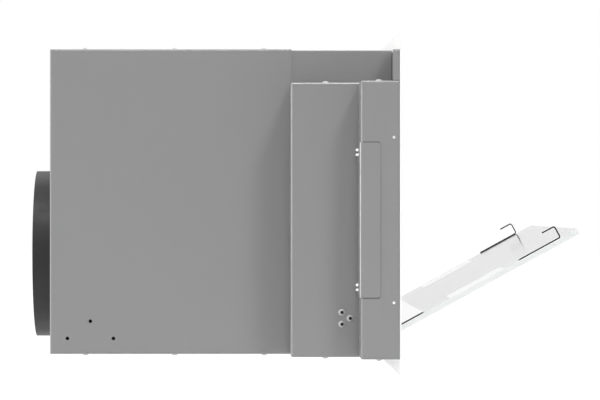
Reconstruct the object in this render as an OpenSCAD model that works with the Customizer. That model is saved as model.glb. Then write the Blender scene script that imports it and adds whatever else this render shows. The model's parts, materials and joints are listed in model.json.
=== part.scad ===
// Panel-mounted batch reflow oven with a tilting glass door.
// +X points out of the door, +Z up. Inside the modules x is measured from the rear face of
// the casing and z from its underside; in_frame() moves the origin to the centre of the
// four panel screws, on the plane where the white front panel meets the cabinet.

/* [Casing] */
// Length of the casing, from its rear face to the back of the front panel
body_l = 383; // [375:1:460]
// Width over the side covers
body_w = 516; // [500:1:600]
// Height of the casing
body_h = 340; // [336:1:420]
// Thickness of the casing sheet
sheet = 1.2; // [0.8:0.1:1.5]
// Length of the front chassis part that stands ahead of the side covers
chassis_l = 113.5; // [105:0.5:125]
// Width of the folded top and bottom flanges of a side cover
cover_flange = 24; // [20:1:40]
// Outside radius of the folded edges
fold_r = 2; // [1.6:0.1:3]

/* [Side boxes] */
// Length of the inner side box
drive_box_l = 116; // [116:1:130]
// How far the inner side box stands out from the casing
drive_box_w = 66.5; // [62:0.5:80]
// Length of the outer side box
end_box_l = 42; // [38:1:60]
// How far the outer side box stands out from the inner one
end_box_w = 49.5; // [40:0.5:60]
// Height of the side boxes
side_box_h = 300; // [280:1:330]
// Thickness of the side box sheet
box_t = 1.5; // [1:0.1:2]
// Length of the slot cover on the outer face
slot_cover_l = 22; // [18:1:30]
// Height of the slot cover
slot_cover_h = 167; // [120:1:200]
// Thickness of the slot cover sheet
slot_cover_t = 1; // [0.8:0.1:1.5]

/* [Front] */
// Thickness of the front frame plate
frame_t = 1.5; // [1:0.1:2]
// Distance of the frame plate's upper edge below the top of the casing
frame_down = 6; // [4:0.5:6]
// Depth of the frame plate's side flanges above the side boxes
frame_flange = 6; // [3:0.5:12]
// Thickness of the white front panel
fascia_t = 1.5; // [1:0.1:3]
// How far the front panel passes the side boxes
fascia_side = 2; // [1:0.5:30]
// How far the front panel passes the top of the casing
fascia_top = 12; // [11:1:30]
// How far the front panel passes the underside of the casing
fascia_bottom = 17; // [11:1:30]
// Width of the front chassis beside the door opening
jamb_w = 12; // [10:0.5:20]
// Height of the lower edge of the door opening
sill_h = 17; // [14:0.5:17.5]
// Gap between the door and the edge of its opening
door_gap = 3; // [2:0.5:5]
// Radius of the four panel screw holes
panel_hole_r = 2.75; // [2:0.25:3.5]
// Distance from the side edge of the panel to its screw holes
panel_hole_edge = 8; // [6:0.5:20]
// Distance of the panel screw holes above and below the casing
panel_hole_out = 6; // [5:0.5:8]

/* [Door] */
// Thickness of the glass
glass_t = 6; // [4:0.5:6]
// Height of the glass
glass_h = 273; // [268:1:276]
// Lower edge of the glass above the hinge axis, door closed
glass_low = 6; // [6:0.5:12]
// Hinge axis behind the front panel's back face
pivot_back = 58; // [57:0.5:60]
// Height of the hinge axis
pivot_h = 42.5; // [42.5:0.5:46]
// Inner face of the glass ahead of the hinge axis
glass_offset = 42; // [40:0.5:42]
// Angle that the door turns through between closed and open
door_travel = 61.3; // [58:0.1:62]
// Thickness of the stainless door sheet
door_sheet = 1.5; // [1:0.1:2]
// Lower edge of the lower door plate above the hinge axis, door closed
plate_low = -3; // [-4:0.5:4]
// Height of the lower door plate
plate_h = 85.7; // [80:0.1:95]
// Width of the two upper clips, along the edge of the door
clip_w = 6; // [4:0.5:12]
// Flat of an upper clip that lies on the glass
clip_flat = 53.5; // [45:0.5:60]
// Depth of an upper clip
clip_depth = 15.5; // [12:0.5:17]
// Return lip of an upper clip
clip_lip = 16.5; // [12:0.5:20]
// Strip of glass left free above the upper clips
clip_inset = 20.5; // [18:0.5:26]

/* [Hinge and door drive] */
// Radius of the hinge shafts
shaft_r = 5; // [4:0.5:5.5]
// Radial running clearance of shafts and pins
run_gap = 0.05; // [0.03:0.01:0.08]
// Thickness of a door arm
arm_t = 4; // [3:0.5:5]
// Radius of a door arm's hub
hub_r = 10; // [8:0.5:11]
// Gear module of the door drive
gear_m = 1.5; // [1.5:0.1:1.6]
// Teeth of the whole wheel that the sector is cut from
sector_teeth = 56; // [54:1:56]
// Teeth of the motor pinion
pinion_teeth = 14; // [13:1:15]
// Width of the gears
gear_w = 7; // [5:0.5:9]
// Radius of the door motor
motor_r = 18; // [14:0.5:18.5]
// Length of the door motor
motor_l = 32; // [28:1:34]

/* [Chamber] */
// How far the glass passes the chamber mouth on each side
glass_lap = 21; // [20:0.5:30]
// Inside height of the chamber
chamber_h = 128; // [120:1:134]
// Height of the chamber floor
chamber_z = 122; // [118:1:126]
// Thickness of the chamber sheet
liner_t = 1; // [0.8:0.1:1.2]
// Thickness of the insulation
wool_t = 25; // [15:1:26]
// Depth of the space for the fans behind the insulation
plenum_l = 80; // [80:1:95]
// Width of the front rim around the chamber mouth
rim_w = 14; // [12:0.5:14]
// Depth of the door gasket
gasket_l = 13; // [8:0.5:13]
// Radius of the heater tubes
heater_r = 5; // [4:0.5:6]
// Heater tubes above the tray, and as many below it
heater_count = 5; // [4:1:6]

/* [Tray] */
// Gap between the fan baffle and the tray
tray_gap = 10; // [6:0.5:40]
// Distance from the tray's front edge back from the rim of the chamber
tray_back = 6; // [4:0.5:12]
// Thickness of the tray frame
tray_t = 1.5; // [1:0.1:2.5]
// Height of the tray above the chamber floor
tray_up = 28.3; // [26:0.1:34]
// Radius of the tray wires
wire_r = 1.5; // [1:0.1:2]
// Number of tray wires
wire_count = 9; // [6:1:10]

/* [Exhaust] */
// Outside diameter of the exhaust collar
collar_d = 198; // [180:1:198]
// How far the collar stands out from the rear face
collar_l = 30; // [25:1:50]
// Thickness of the collar sheet
collar_t = 1; // [0.8:0.1:1.5]
// Height of the collar's axis
collar_z = 108; // [104:1:116]
// Number of exhaust fan blades
blade_count = 7; // [5:1:9]

/* [Controls] */
// Distance of the controls' centre line from the side of the casing
controls_out = 33; // [31:0.5:35]
// Distance of the display's centre below the top of the side boxes
display_down = 50; // [40:1:60]
// Distance of the menu knob below the display's centre
knob_down = 62; // [56:1:70]
// Distance of the start and stop buttons below the menu knob
button_down = 50; // [44:1:60]
// Width of the display window
display_w = 58; // [50:1:58]
// Height of the display window
display_h = 44; // [36:1:46]
// Radius of the menu knob
knob_r = 16; // [12:0.5:18]
// Radius of the push buttons
button_r = 8; // [6:0.5:9]
// Travel of the push buttons
button_travel = 1.5; // [1:0.1:2]

/* [Hidden] */
$fn = 64;
fit_gap = 0.3;

// Colours
paint = [0.57, 0.57, 0.57];
white = [0.93, 0.93, 0.92];
steel = [0.75, 0.75, 0.74];
zinc = [0.66, 0.67, 0.68];
dark = [0.1, 0.1, 0.1];
brass = [0.78, 0.63, 0.32];
wool = [0.85, 0.82, 0.72];

// Casing planes
half_w = body_w / 2;
joint_x = body_l - chassis_l;
skin_y = half_w - sheet;
skin_low = sheet;
skin_high = body_h - sheet;
pattern_z = body_h / 2;
plate_x = body_l - frame_t;
drive_y = half_w + drive_box_w;
end_y = drive_y + end_box_w;
drive_x = body_l - drive_box_l;
end_x = body_l - end_box_l;
cover_x = end_x - slot_cover_t;
slot_cover_low = (side_box_h - slot_cover_h) / 2;

// Door, described closed: u forward of the hinge axis, v above it
open_y = half_w - jamb_w;
glass_y = open_y - door_gap;
pivot_x = body_l - pivot_back;
glass_top = glass_low + glass_h;
clip_top = glass_top - clip_inset;
plate_u = glass_offset - door_sheet;
open_top = pivot_h + glass_top + 2;
arm_y = glass_y - 1 - arm_t;
arm_foot = 50;
bush_t = 4;

// Chamber planes
chamber_x = plenum_l + wool_t + liner_t;
bulkhead_x = pivot_x + 6;
rim_x = body_l - 31;
mouth_y = glass_y - glass_lap;
mouth_top = chamber_z + chamber_h;
baffle_x = chamber_x + 31;
tray_z = chamber_z + tray_up;
tray_x0 = baffle_x + liner_t + tray_gap;
tray_x1 = rim_x - tray_back;
tray_y = mouth_y - 3;
tray_side = 12;
fan_z = chamber_z + chamber_h / 2;

// Door drive, seen along +Y with x to the right
mesh_angle = 135;
sector_r = gear_m * sector_teeth / 2;
pinion_pitch_r = gear_m * pinion_teeth / 2;
gear_distance = sector_r + pinion_pitch_r + 0.1;
pinion_x = pivot_x + gear_distance * cos(mesh_angle);
pinion_z = pivot_h + gear_distance * sin(mesh_angle);
gear_y = half_w + 40;
motor_shaft_r = 3;
block_y = drive_y - box_t - 16;

// Screws
m4_head_r = 3.8;
m4_head_h = 2.2;
m4_hex_r = 1.45;
m4_r = 2;
cover_screw_rear = 39;
cover_screw_front = joint_x - 30.5;
cover_screw_x = [cover_screw_rear, (cover_screw_rear + cover_screw_front) / 2, cover_screw_front];
cover_screw_in = 14;
box_screw_in = 12;
drive_screw_back = 78;
end_screw_back = 22;
drive_screw_x = body_l - drive_screw_back;
end_screw_x = body_l - end_screw_back;
tie_holes = [[19.4, 17.4], [70.8, 17.4], [45.1, 36.6]];
tie_hole_r = 2;
hinge_screws_at = [[6.8, 0], [-2.3, 6.4], [-2.3, -6.4]];
slot_bend_r = fold_r + slot_cover_t;
slot_screw_z = [7.3, 12.6, slot_cover_h - 12.6, slot_cover_h - 7.3];
slot_screw_r = 1;
slot_head_r = 1.7;
slot_head_h = 2.6;
frame_screw_end = 61;
frame_screw_z = [frame_screw_end, side_box_h - frame_screw_end];
frame_screw_back = 6.5;
frame_screw_r = 1;
frame_head_r = 1.5;
frame_head_h = 1;

// Controls
controls_y = half_w + controls_out;
display_z = side_box_h - display_down;
knob_z = display_z - knob_down;
button_z = knob_z - button_down;
button_y = 14;
encoder_bush_r = 3.5;

// Placing helpers
module in_frame() translate([-body_l, 0, -pattern_z]) children();
module on_left() mirror([0, 1, 0]) children();
module both_sides() {
    children();
    mirror([0, 1, 0]) children();
}
module slab(x0, x1, y0, y1, z0, z1) translate([x0, y0, z0]) cube([x1 - x0, y1 - y0, z1 - z0]);
// A 2D outline in Y and Z, drawn out along X
module along_x(x0, x1) translate([x0, 0, 0]) rotate([90, 0, 90]) linear_extrude(x1 - x0) children();
// A 2D outline in X and Z, drawn out along Y
module along_y(y0, y1) translate([0, y1, 0]) rotate([90, 0, 0]) linear_extrude(y1 - y0) children();
module rod_x(x0, x1, r, y = 0, z = 0) translate([x0, y, z]) rotate([0, 90, 0]) cylinder(h = x1 - x0, r = r);
module rod_y(y0, y1, r, x = 0, z = 0) translate([x, y1, z]) rotate([90, 0, 0]) cylinder(h = y1 - y0, r = r);
module rod_z(z0, z1, r, x = 0, y = 0) translate([x, y, z0]) cylinder(h = z1 - z0, r = r);
// Turns what is modelled as a closed door to the open door
module opened() translate([pivot_x, 0, pivot_h]) rotate([0, door_travel, 0]) children();

// Rectangle with rounded corners about the origin
module round_plate(w, h, r) round_rect(-w / 2, w / 2, -h / 2, h / 2, r);

// Rectangle with rounded corners, from its lower left to its upper right corner
module round_rect(x0, x1, y0, y1, r) {
    translate([x0 + r, y0]) square([x1 - x0 - 2 * r, y1 - y0]);
    translate([x0, y0 + r]) square([x1 - x0, y1 - y0 - 2 * r]);
    for (x = [x0 + r, x1 - r], y = [y0 + r, y1 - r]) translate([x, y]) circle(r);
}

// Block whose edges are rounded in all three directions
module rounded_block(x0, x1, y0, y1, z0, z1, r) intersection() {
    along_x(x0, x1) round_rect(y0, y1, z0, z1, r);
    along_y(y0, y1) round_rect(x0, x1, z0, z1, r);
    translate([0, 0, z0]) linear_extrude(z1 - z0) round_rect(x0, x1, y0, y1, r);
}

// Closed ring of sheet in the Y-Z plane
module sheet_ring(y, z0, z1, t) {
    difference() {
        round_rect(-y, y, z0, z1, fold_r);
        round_rect(-y + t, y - t, z0 + t, z1 - t, fold_r - t / 2);
    }
}

// Button-head screw standing on z = 0 with its thread below
module button_screw(thread) {
    rim = 0.3;
    dome_r = (m4_head_r ^ 2 + (m4_head_h - rim) ^ 2) / 2 / (m4_head_h - rim);
    difference() {
        union() {
            rotate_extrude() intersection() {
                translate([0, m4_head_h - dome_r]) circle(dome_r);
                square([m4_head_r, m4_head_h]);
            }
            translate([0, 0, -thread]) cylinder(h = thread, r = m4_r - 0.1);
        }
        translate([0, 0, m4_head_h - 1.3]) cylinder(h = 2, r = m4_hex_r, $fn = 6);
    }
}

module pan_screw(head_r, head_h, thread) {
    cylinder(h = head_h, r = head_r);
    translate([0, 0, -thread]) cylinder(h = thread, r = head_r / 2);
}

// Rivet-like screw with a ball head
module ball_screw(head_r, head_h, thread_r, thread) {
    rotate_extrude() {
        square([head_r, head_h - head_r]);
        intersection() {
            translate([0, head_h - head_r]) circle(head_r);
            square([head_r, head_h]);
        }
    }
    translate([0, 0, -thread]) cylinder(h = thread, r = thread_r);
}

// Casing

module side_cover() {
    color(paint) difference() {
        along_x(0, joint_x) intersection() {
            sheet_ring(half_w, 0, body_h, sheet);
            translate([half_w - cover_flange, 0]) square([cover_flange, body_h]);
        }
        for (h = tie_holes) rod_y(half_w - 3, half_w + 1, tie_hole_r, h[0], h[1]);
        for (x = cover_screw_x) rod_z(-1, body_h + 1, m4_r, x, half_w - cover_screw_in);
    }
}
module side_cover_left() in_frame() on_left() side_cover();
module side_cover_right() in_frame() side_cover();

// Floor or roof sheet with its side flanges turned inwards
pan_flange = 42;
module pan() difference() {
    along_x(sheet, joint_x) intersection() {
        sheet_ring(skin_y, skin_low, skin_high, sheet);
        translate([-skin_y, skin_low]) square([2 * skin_y, pan_flange]);
    }
    both_sides() for (x = cover_screw_x) rod_z(0, 4, m4_r - 0.1, x, half_w - cover_screw_in);
}
module base_pan() in_frame() color(zinc) difference() {
    pan();
    both_sides() for (h = tie_holes) rod_y(skin_y - 3, skin_y + 1, tie_hole_r, h[0], h[1]);
}
module top_pan() in_frame() color(zinc) translate([0, 0, body_h]) mirror([0, 0, 1]) pan();

rear_vent_y = half_w - 68;
rear_vent_l = 64;
rear_vent_h = 5;
rear_vent_pitch = 12;
inlet_y = rear_vent_y;
inlet_z = 62;
inlet_w = 50;
inlet_h = 66;
// Overlap of the inlet's flange on the panel
inlet_edge = 4;
module rear_panel() in_frame() color(paint) difference() {
    along_x(0, sheet) round_rect(-skin_y, skin_y, skin_low, skin_high, fold_r);
    rod_x(-1, sheet + 1, collar_d / 2 + 0.2, 0, collar_z);
    slab(-1, sheet + 1, inlet_y - inlet_w / 2 + inlet_edge, inlet_y + inlet_w / 2 - inlet_edge,
        inlet_z - inlet_h / 2 + inlet_edge, inlet_z + inlet_h / 2 - inlet_edge);
    both_sides() for (i = [1 : 7])
        along_x(-1, sheet + 1) translate([rear_vent_y, body_h - 26 - i * rear_vent_pitch])
            round_plate(rear_vent_l, rear_vent_h, rear_vent_h / 2 - 0.1);
}

// Front part of the chassis, folded in behind the frame plate around the door opening
module front_chassis() in_frame() color(paint) difference() {
    intersection() {
        rounded_block(joint_x - 10, plate_x, -skin_y, skin_y, skin_low, skin_high, sheet);
        slab(joint_x, plate_x, -skin_y, skin_y, skin_low, skin_high);
    }
    slab(joint_x - 1, plate_x - sheet, -skin_y + sheet, skin_y - sheet, skin_low + sheet, skin_high - sheet);
    along_x(joint_x, plate_x + 1) round_rect(-open_y, open_y, sill_h, open_top, 4);
    both_sides() rod_y(skin_y - 3, skin_y + 1, shaft_r + bush_t, pivot_x, pivot_h);
}

// Door opening and the cut-outs for the controls, shared by frame and front panel
module front_cutouts(gap) {
    round_rect(-open_y, open_y, sill_h, open_top, 4);
    translate([controls_y, display_z]) display_outline(gap);
    translate([controls_y, knob_z]) circle(encoder_bush_r + gap);
    for (y = [-button_y, button_y]) translate([controls_y + y, button_z]) circle(button_r + gap);
}

// Display window, drawn larger by a margin
module display_outline(margin) round_plate(display_w + 2 * margin, display_h + 2 * margin, 1);

module frame_outline() round_rect(-end_y, end_y, 0, body_h - frame_down, fold_r);
module front_frame() in_frame() color(paint) {
    along_x(plate_x, body_l) difference() {
        frame_outline();
        front_cutouts(fit_gap);
    }
    both_sides() along_x(plate_x - frame_flange, plate_x + frame_t / 2) intersection() {
        frame_outline();
        translate([end_y - frame_t, side_box_h + fit_gap]) square([2 * frame_t, body_h - side_box_h]);
    }
}

fascia_y = end_y + fascia_side;
module front_fascia() in_frame() color(white)
    along_x(body_l, body_l + fascia_t) difference() {
        round_rect(-fascia_y, fascia_y, -fascia_bottom, body_h + fascia_top, 3);
        front_cutouts(fit_gap);
        for (y = [-1, 1], z = [-0.5, 0.5])
            translate([y * (fascia_y - panel_hole_edge), pattern_z + z * (body_h + 2 * panel_hole_out)])
                circle(panel_hole_r);
    }

// Side boxes: open towards the casing, closed in front by the frame plate

module folded_box(x0, y0, y1, screw_x) difference() {
    intersection() {
        rounded_block(x0, plate_x + 2 * fold_r, y0 - 2 * fold_r, y1, 0, side_box_h, fold_r);
        slab(x0, plate_x, y0, y1, 0, side_box_h);
    }
    slab(x0 + box_t, plate_x + 1, y0 - 1, y1 - box_t, box_t, side_box_h - box_t);
    rod_z(-1, side_box_h + 1, m4_r, screw_x, y1 - box_screw_in);
}

module drive_box() color(paint) difference() {
    folded_box(drive_x, half_w + 0.2, drive_y, drive_screw_x);
    hinge_screw_places() translate([0, 0, -6]) cylinder(h = 12, r = m4_r);
}
module drive_box_left() in_frame() on_left() drive_box();
module drive_box_right() in_frame() drive_box();

module end_box() color(paint) difference() {
    folded_box(end_x, drive_y, end_y, end_screw_x);
    slab(end_x - 1, end_x + box_t + 1, drive_y + 12, end_y - 12,
        slot_cover_low + 20, slot_cover_low + slot_cover_h - 20);
    frame_screw_places() translate([0, 0, -6]) cylinder(h = 12, r = frame_screw_r);
    slot_screw_places() translate([0, 0, -6]) cylinder(h = 12, r = slot_screw_r);
}
module end_box_left() in_frame() on_left() end_box();
module end_box_right() in_frame() end_box();

// Bent sheet: one leg on the outer face, the other behind the rear face of the box
module slot_cover() color(paint) difference() {
    translate([0, 0, slot_cover_low]) {
        along_y(end_y, end_y + slot_cover_t) {
            round_rect(cover_x + slot_bend_r, cover_x + slot_cover_l, 0, slot_cover_h, 3);
            translate([cover_x + slot_bend_r, 0]) square([6, slot_cover_h]);
        }
        slab(cover_x, end_x, drive_y + 1, end_y + slot_cover_t - slot_bend_r, 0, slot_cover_h);
        translate([cover_x + slot_bend_r, end_y + slot_cover_t - slot_bend_r, 0])
            linear_extrude(slot_cover_h) intersection() {
                difference() {
                    circle(slot_bend_r);
                    circle(fold_r);
                }
                translate([-slot_bend_r, 0]) square(slot_bend_r);
            }
    }
    slot_screw_places() translate([0, 0, -6]) cylinder(h = 12, r = slot_screw_r);
}
module slot_cover_left() in_frame() on_left() slot_cover();
module slot_cover_right() in_frame() slot_cover();

// Screws

module cover_screws() in_frame() color(steel) both_sides() for (x = cover_screw_x) {
    translate([x, half_w - cover_screw_in, body_h]) button_screw(5);
    translate([x, half_w - cover_screw_in, 0]) mirror([0, 0, 1]) button_screw(5);
}

module box_screws() in_frame() color(steel) both_sides()
    for (p = [[drive_screw_x, drive_y], [end_screw_x, end_y]]) {
        translate([p[0], p[1] - box_screw_in, side_box_h]) button_screw(5);
        translate([p[0], p[1] - box_screw_in, 0]) mirror([0, 0, 1]) button_screw(5);
    }

module hinge_screw_places() for (p = hinge_screws_at)
    translate([pivot_x + p[0], drive_y, pivot_h + p[1]]) rotate([-90, 0, 0]) children();
module hinge_screws() in_frame() color(steel) both_sides() hinge_screw_places() button_screw(6);

module frame_screw_places() for (z = frame_screw_z)
    translate([body_l - frame_screw_back, end_y, z]) rotate([-90, 0, 0]) children();
module frame_screws() in_frame() color(steel) both_sides() frame_screw_places()
    pan_screw(frame_head_r, frame_head_h, 5);

module slot_screw_places() for (z = slot_screw_z)
    translate([cover_x, drive_y + 6, slot_cover_low + z]) rotate([0, -90, 0]) children();
module slot_cover_screws() in_frame() color(steel) both_sides()
    slot_screw_places() ball_screw(slot_head_r, slot_head_h, slot_screw_r, 4);

// Door, modelled closed and turned open about the hinge axis

module door_glass() in_frame() color([0.8, 0.86, 0.84, 0.5]) opened()
    translate([glass_offset, 0, 0]) rotate([90, 0, 90]) linear_extrude(glass_t)
        round_rect(-glass_y, glass_y, glass_low, glass_top, 3);

module door_lower_plate() in_frame() color(steel) opened()
    slab(plate_u, glass_offset, -glass_y, glass_y, plate_low, plate_low + plate_h);

// Outline of an upper clip: flat on the glass, leg and return lip with bent corners
module clip_outline() {
    inner = glass_offset - clip_depth;
    bend = 3;
    difference() {
        round_rect(inner, glass_offset, clip_top - clip_lip - 2 * bend, clip_top, bend);
        round_rect(inner + door_sheet, glass_offset - door_sheet,
            clip_top - clip_lip - 4 * bend, clip_top - door_sheet, bend - door_sheet);
        translate([inner - 1, clip_top - clip_lip - 20])
            square([clip_depth - door_sheet + 1, 20]);
    }
    translate([plate_u, clip_top - clip_flat]) square([door_sheet, clip_flat - bend]);
}
module door_upper_clips() in_frame() color(steel) both_sides() opened()
    along_y(glass_y - clip_w, glass_y) clip_outline();

// Outline of an arm: hub on the hinge axis and a foot behind the lower plate
module arm_outline() difference() {
    union() {
        circle(hub_r);
        polygon([[0, -hub_r], [plate_u - 12, plate_low], [plate_u, plate_low], [plate_u, arm_foot],
            [plate_u - 5, arm_foot], [plate_u - 14, hub_r + 8], [0, hub_r]]);
    }
    circle(shaft_r);
}
module door_arms() in_frame() color(steel) both_sides() opened()
    along_y(arm_y, arm_y + arm_t) arm_outline();

module hinge_shafts() in_frame() color(steel) both_sides()
    rod_y(arm_y, block_y + 8, shaft_r, pivot_x, pivot_h);

module hinge_bushes() in_frame() color(brass) both_sides() difference() {
    union() {
        rod_y(skin_y - sheet - 6, half_w + 6, shaft_r + bush_t - 0.02, pivot_x, pivot_h);
        rod_y(skin_y - sheet - 3, skin_y - sheet, shaft_r + 2 * bush_t, pivot_x, pivot_h);
    }
    rod_y(half_w - 20, half_w + 20, shaft_r + run_gap, pivot_x, pivot_h);
}

module hinge_blocks() in_frame() color(zinc) both_sides() difference() {
    along_y(block_y, drive_y - box_t) translate([pivot_x, pivot_h]) round_rect(-13, 13, -13, 13, 4);
    rod_y(block_y - 1, block_y + 8.4, shaft_r + run_gap, pivot_x, pivot_h);
    hinge_screw_places() translate([0, 0, -6.3]) cylinder(h = 6.3, r = m4_r - 0.1);
}

// Underside of the open glass at a distance ahead of the hinge axis
function glass_under(dx) =
    pivot_h + (dx * cos(door_travel) - glass_offset - glass_t) / sin(door_travel);
buffer_r = 5;
buffer_dx = 45;
buffer_y = mouth_y - 42;
module door_buffers() in_frame() color(dark) both_sides()
    translate([pivot_x + buffer_dx, buffer_y, skin_low + sheet])
        cylinder(h = glass_under(buffer_dx - buffer_r) - skin_low - sheet - fit_gap, r = buffer_r);

// Involute gears

gear_pressure = 25;
function involute(a) = tan(a) - a * PI / 180;
// Half the angle that a tooth takes at radius r
function tooth_half(teeth, r) = let (
        pitch_r = gear_m * teeth / 2,
        base_r = pitch_r * cos(gear_pressure))
    (PI / 2 / teeth - 0.045 / pitch_r + involute(gear_pressure)
        - involute(acos(min(1, base_r / r)))) * 180 / PI;
function on_circle(r, a) = [r * cos(a), r * sin(a)];
// One tooth about the direction 0, from inside the root to the tip
function tooth_points(teeth) = let (
        pitch_r = gear_m * teeth / 2,
        start_r = max(pitch_r * cos(gear_pressure), pitch_r - 1.15 * gear_m),
        tip_r = pitch_r + 0.9 * gear_m,
        steps = 5,
        radii = [for (i = [0 : steps]) start_r + (tip_r - start_r) * i / steps],
        foot_r = pitch_r - 1.15 * gear_m - 0.5)
    concat([on_circle(foot_r, -tooth_half(teeth, start_r))],
        [for (r = radii) on_circle(r, -tooth_half(teeth, r))],
        [for (i = [steps : -1 : 0]) on_circle(radii[i], tooth_half(teeth, radii[i]))],
        [on_circle(foot_r, tooth_half(teeth, start_r))]);
function wedge(r, a0, a1) =
    concat([[0, 0]], [for (i = [0 : 6]) on_circle(r, a0 + (a1 - a0) * i / 6)]);

sector_low = -78;
sector_high = 15;
module sector_outline() {
    tooth_angle = 360 / sector_teeth;
    root_r = sector_r - 1.15 * gear_m;
    difference() {
        union() {
            for (i = [ceil(sector_low / tooth_angle) + 1 : floor(sector_high / tooth_angle) - 1])
                rotate(i * tooth_angle) polygon(tooth_points(sector_teeth));
            intersection() {
                circle(root_r);
                polygon(wedge(2 * root_r, sector_low, sector_high));
            }
            circle(shaft_r + 6);
        }
        circle(shaft_r);
        for (a = [-58, -31.5, -5]) rotate(a) translate([sector_r * 0.58, 0]) circle(5.5);
    }
}
module door_gear_sector() in_frame() color(zinc) on_left()
    translate([pivot_x, 0, pivot_h]) along_y(gear_y, gear_y + gear_w)
        rotate(mesh_angle) sector_outline();

module drive_pinion() in_frame() color(brass) on_left() translate([pinion_x, 0, pinion_z]) {
    along_y(gear_y - 0.5, gear_y + gear_w + 0.5) rotate(mesh_angle + 180 + 180 / pinion_teeth) {
        circle(pinion_pitch_r - 1.15 * gear_m);
        for (i = [0 : pinion_teeth - 1])
            rotate(i * 360 / pinion_teeth) polygon(tooth_points(pinion_teeth));
    }
    rod_y(gear_y - 12, gear_y, motor_shaft_r);
}

motor_front = gear_y - 3.5;
motor_boss_r = motor_shaft_r + 3;
bracket_t = 1.5;
module door_motor() in_frame() color(steel) on_left() translate([pinion_x, 0, pinion_z]) difference() {
    union() {
        rod_y(motor_front - motor_l, motor_front - bracket_t, motor_r);
        rod_y(motor_front - bracket_t - 0.5, motor_front + 1.5, motor_boss_r);
    }
    rod_y(motor_front - 10, motor_front + 3, motor_shaft_r + run_gap);
}
module door_motor_bracket() in_frame() color(zinc) on_left() {
    edge_x = pinion_x + motor_r + 8;
    edge_z = pinion_z + motor_r + 8;
    difference() {
        slab(pinion_x - motor_r, edge_x, motor_front - bracket_t, motor_front, pinion_z - motor_r, edge_z);
        rod_y(motor_front - 3, motor_front + 1, motor_boss_r, pinion_x, pinion_z);
    }
    slab(edge_x - bracket_t, edge_x, half_w + fit_gap, motor_front, pinion_z - 10, edge_z);
}

// Hot chamber

port_y = 120;
port_r = 20;
port_z = chamber_z + 30;
fan_hole_r = 9;
probe_r = 1.5;
probe_y = 60;
probe_z = fan_z + 40;
module rear_ports(x0, x1) {
    rod_x(x0, x1, fan_hole_r, 0, fan_z);
    for (y = [-port_y, port_y]) rod_x(x0, x1, port_r, y, port_z);
    rod_x(x0, x1, probe_r + fit_gap, probe_y, probe_z);
}

module chamber_liner() in_frame() color(steel) difference() {
    union() {
        slab(chamber_x - liner_t, rim_x, -mouth_y - liner_t, mouth_y + liner_t,
            chamber_z - liner_t, mouth_top + liner_t);
        along_x(rim_x - liner_t, rim_x)
            round_rect(-mouth_y - rim_w, mouth_y + rim_w, chamber_z - rim_w, mouth_top + rim_w, 4);
    }
    slab(chamber_x, rim_x + 1, -mouth_y, mouth_y, chamber_z, mouth_top);
    rear_ports(chamber_x - 5, chamber_x + 1);
}

module insulation() in_frame() color(wool) difference() {
    slab(plenum_l, bulkhead_x - 0.1, -mouth_y - wool_t, mouth_y + wool_t,
        chamber_z - wool_t, mouth_top + wool_t);
    slab(chamber_x - liner_t, bulkhead_x + 1, -mouth_y - liner_t, mouth_y + liner_t,
        chamber_z - liner_t, mouth_top + liner_t);
    rear_ports(plenum_l - 1, chamber_x);
}

module front_bulkhead() in_frame() color(zinc) difference() {
    slab(bulkhead_x, bulkhead_x + sheet, -skin_y + sheet, skin_y - sheet,
        skin_low + sheet, skin_high - sheet);
    slab(bulkhead_x - 1, bulkhead_x + 3, -mouth_y - liner_t - 0.2, mouth_y + liner_t + 0.2,
        chamber_z - liner_t - 0.2, mouth_top + liner_t + 0.2);
    both_sides() slab(bulkhead_x - 1, bulkhead_x + 3, arm_y - 3, skin_y, 8, pivot_h + 28);
}

module rear_bulkhead() in_frame() color(zinc) difference() {
    slab(plenum_l - sheet, plenum_l, -skin_y + sheet + 0.3, skin_y - sheet - 0.3,
        skin_low + sheet, skin_high - sheet);
    rear_ports(plenum_l - 3, plenum_l + 1);
}

gasket_in = 2;
module door_gasket() in_frame() color([0.82, 0.3, 0.16])
    along_x(rim_x, rim_x + gasket_l) difference() {
        gasket_out = rim_w - gasket_in;
        round_rect(-mouth_y - gasket_out, mouth_y + gasket_out,
            chamber_z - gasket_out, mouth_top + gasket_out, 4);
        round_rect(-mouth_y - gasket_in, mouth_y + gasket_in,
            chamber_z - gasket_in, mouth_top + gasket_in, 2);
    }

heater_x0 = baffle_x + 18;
heater_x1 = rim_x - 24;
heater_pitch = (heater_x1 - heater_x0) / (heater_count - 1);
heater_drop = 13;
heater_end = 12;
heater_cap_r = heater_r - 0.8;
holder_y = mouth_y - 8;
holder_t = 1.5;
module heater_row(z) for (i = [0 : heater_count - 1]) {
    x = heater_x0 + i * heater_pitch;
    color([0.9, 0.85, 0.8]) rod_y(-mouth_y + heater_end, mouth_y - heater_end, heater_r, x, z);
    color(white) both_sides() rod_y(mouth_y - heater_end, mouth_y - 1, heater_cap_r, x, z);
}
module heaters_top() in_frame() heater_row(mouth_top - heater_drop);
module heaters_bottom() in_frame() heater_row(chamber_z + heater_drop);
module heater_holders() in_frame() color(steel) both_sides()
    for (z = [mouth_top - heater_drop, chamber_z + heater_drop]) difference() {
        slab(heater_x0 - 2 * heater_r, heater_x1 + 2 * heater_r, holder_y - holder_t, holder_y,
            z - heater_drop + 0.1, z + heater_drop - 0.1);
        for (i = [0 : heater_count - 1])
            rod_y(mouth_y - heater_end, mouth_y, heater_cap_r, heater_x0 + i * heater_pitch, z);
    }

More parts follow.
